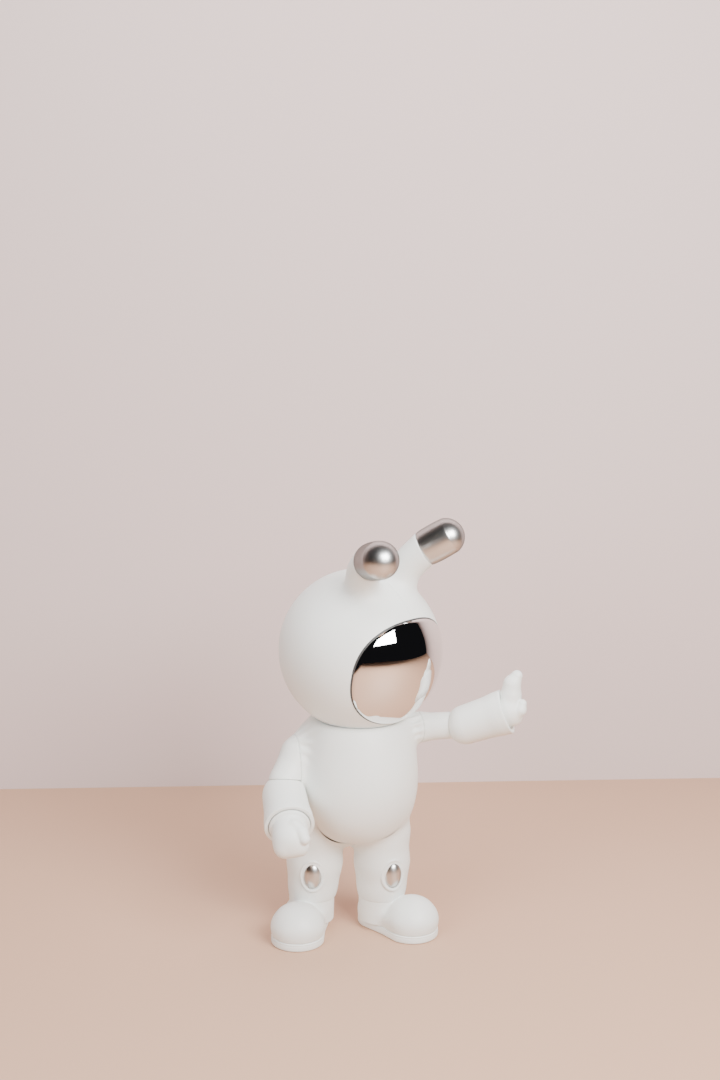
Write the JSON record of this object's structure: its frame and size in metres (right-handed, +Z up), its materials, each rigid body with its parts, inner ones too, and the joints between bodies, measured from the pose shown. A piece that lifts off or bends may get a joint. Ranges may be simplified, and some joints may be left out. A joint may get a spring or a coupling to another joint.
{
  "type": "astronaut statue",
  "caption": "White astronaut statue with a large bubble helmet, a mirror visor, curved antennae with silver caps, an arm raised in a wave and chunky boots.",
  "frame": {"origin": "bottom centre of the whole figure's box, on the floor under the soles", "axes": "+Z up, the torso and boots face -Y, +X is the figure's own left (its raised arm)"},
  "size_m": [0.511, 0.3643, 0.8345],
  "materials": {
    "white_shell": "matte",
    "white_trim": "matte",
    "inner_grey": "matte",
    "satin_silver": "satin",
    "mirror_visor": "polished"
  },
  "bodies": {
    "root": {"torso_shell": "white_shell", "neck_dish": "white_shell", "neck_peg": "inner_grey", "shoulder_boss_right": "white_shell", "shoulder_pin_right": "inner_grey", "leg_right": "white_shell", "boot_upper_right": "white_shell", "boot_sole_right": "white_trim", "knee_ring_right": "white_trim", "knee_dome_right": "satin_silver", "shoulder_boss_left": "white_shell", "shoulder_pin_left": "inner_grey", "leg_left": "white_shell", "boot_upper_left": "white_shell", "boot_sole_left": "white_trim", "knee_ring_left": "white_trim", "knee_dome_left": "satin_silver"},
    "head": {"helmet_shell_right": "white_shell", "helmet_shell_left": "white_shell", "visor": "mirror_visor", "visor_ring": "inner_grey", "antenna_cap_right": "satin_silver", "antenna_cap_left": "satin_silver"},
    "upper_arm_right": {"upper_arm_right": "white_shell", "elbow_peg_right": "inner_grey"},
    "forearm_right": {"sleeve_right": "white_shell", "wrist_peg_right": "inner_grey"},
    "hand_right": {"hand_right": "white_shell"},
    "upper_arm_left": {"upper_arm_left": "white_shell", "elbow_peg_left": "inner_grey"},
    "forearm_left": {"sleeve_left": "white_shell", "wrist_peg_left": "inner_grey"},
    "hand_left": {"hand_left": "white_shell"}
  },
  "joints": [
    {"name": "neck_turn", "type": "hinge", "parent": "root", "child": "head", "pos_m": [-0.03296, 0.02216, 0.41], "axis": [0, 0, 1], "range_deg": [-118, 62]},
    {"name": "shoulder_right_swing", "type": "hinge", "parent": "root", "child": "upper_arm_right", "pos_m": [-0.16596, 0.02616, 0.384], "axis": [-1, 0, 0], "range_deg": [-30, 80]},
    {"name": "shoulder_left_swing", "type": "hinge", "parent": "root", "child": "upper_arm_left", "pos_m": [0.08304, 0.00016, 0.409], "axis": [-1, 0, 0], "range_deg": [-50, 50]},
    {"name": "elbow_right_turn", "type": "hinge", "parent": "upper_arm_right", "child": "forearm_right", "pos_m": [-0.19396, 0.00216, 0.326], "axis": [-0.1388, -0.3786, -0.9151], "range_deg": [0, 90]},
    {"name": "elbow_left_turn", "type": "hinge", "parent": "upper_arm_left", "child": "forearm_left", "pos_m": [0.14304, -0.03584, 0.418], "axis": [0.754, -0.6372, 0.1593], "range_deg": [-90, 90]},
    {"name": "wrist_right_turn", "type": "hinge", "parent": "forearm_right", "child": "hand_right", "pos_m": [-0.20996, -0.08984, 0.268], "axis": [-0.1365, -0.9236, -0.3583], "range_deg": [-90, 90]},
    {"name": "wrist_left_turn", "type": "hinge", "parent": "forearm_left", "child": "hand_left", "pos_m": [0.22504, -0.08684, 0.45], "axis": [0.8156, -0.4489, 0.3651], "range_deg": [-90, 90]}
  ]
}
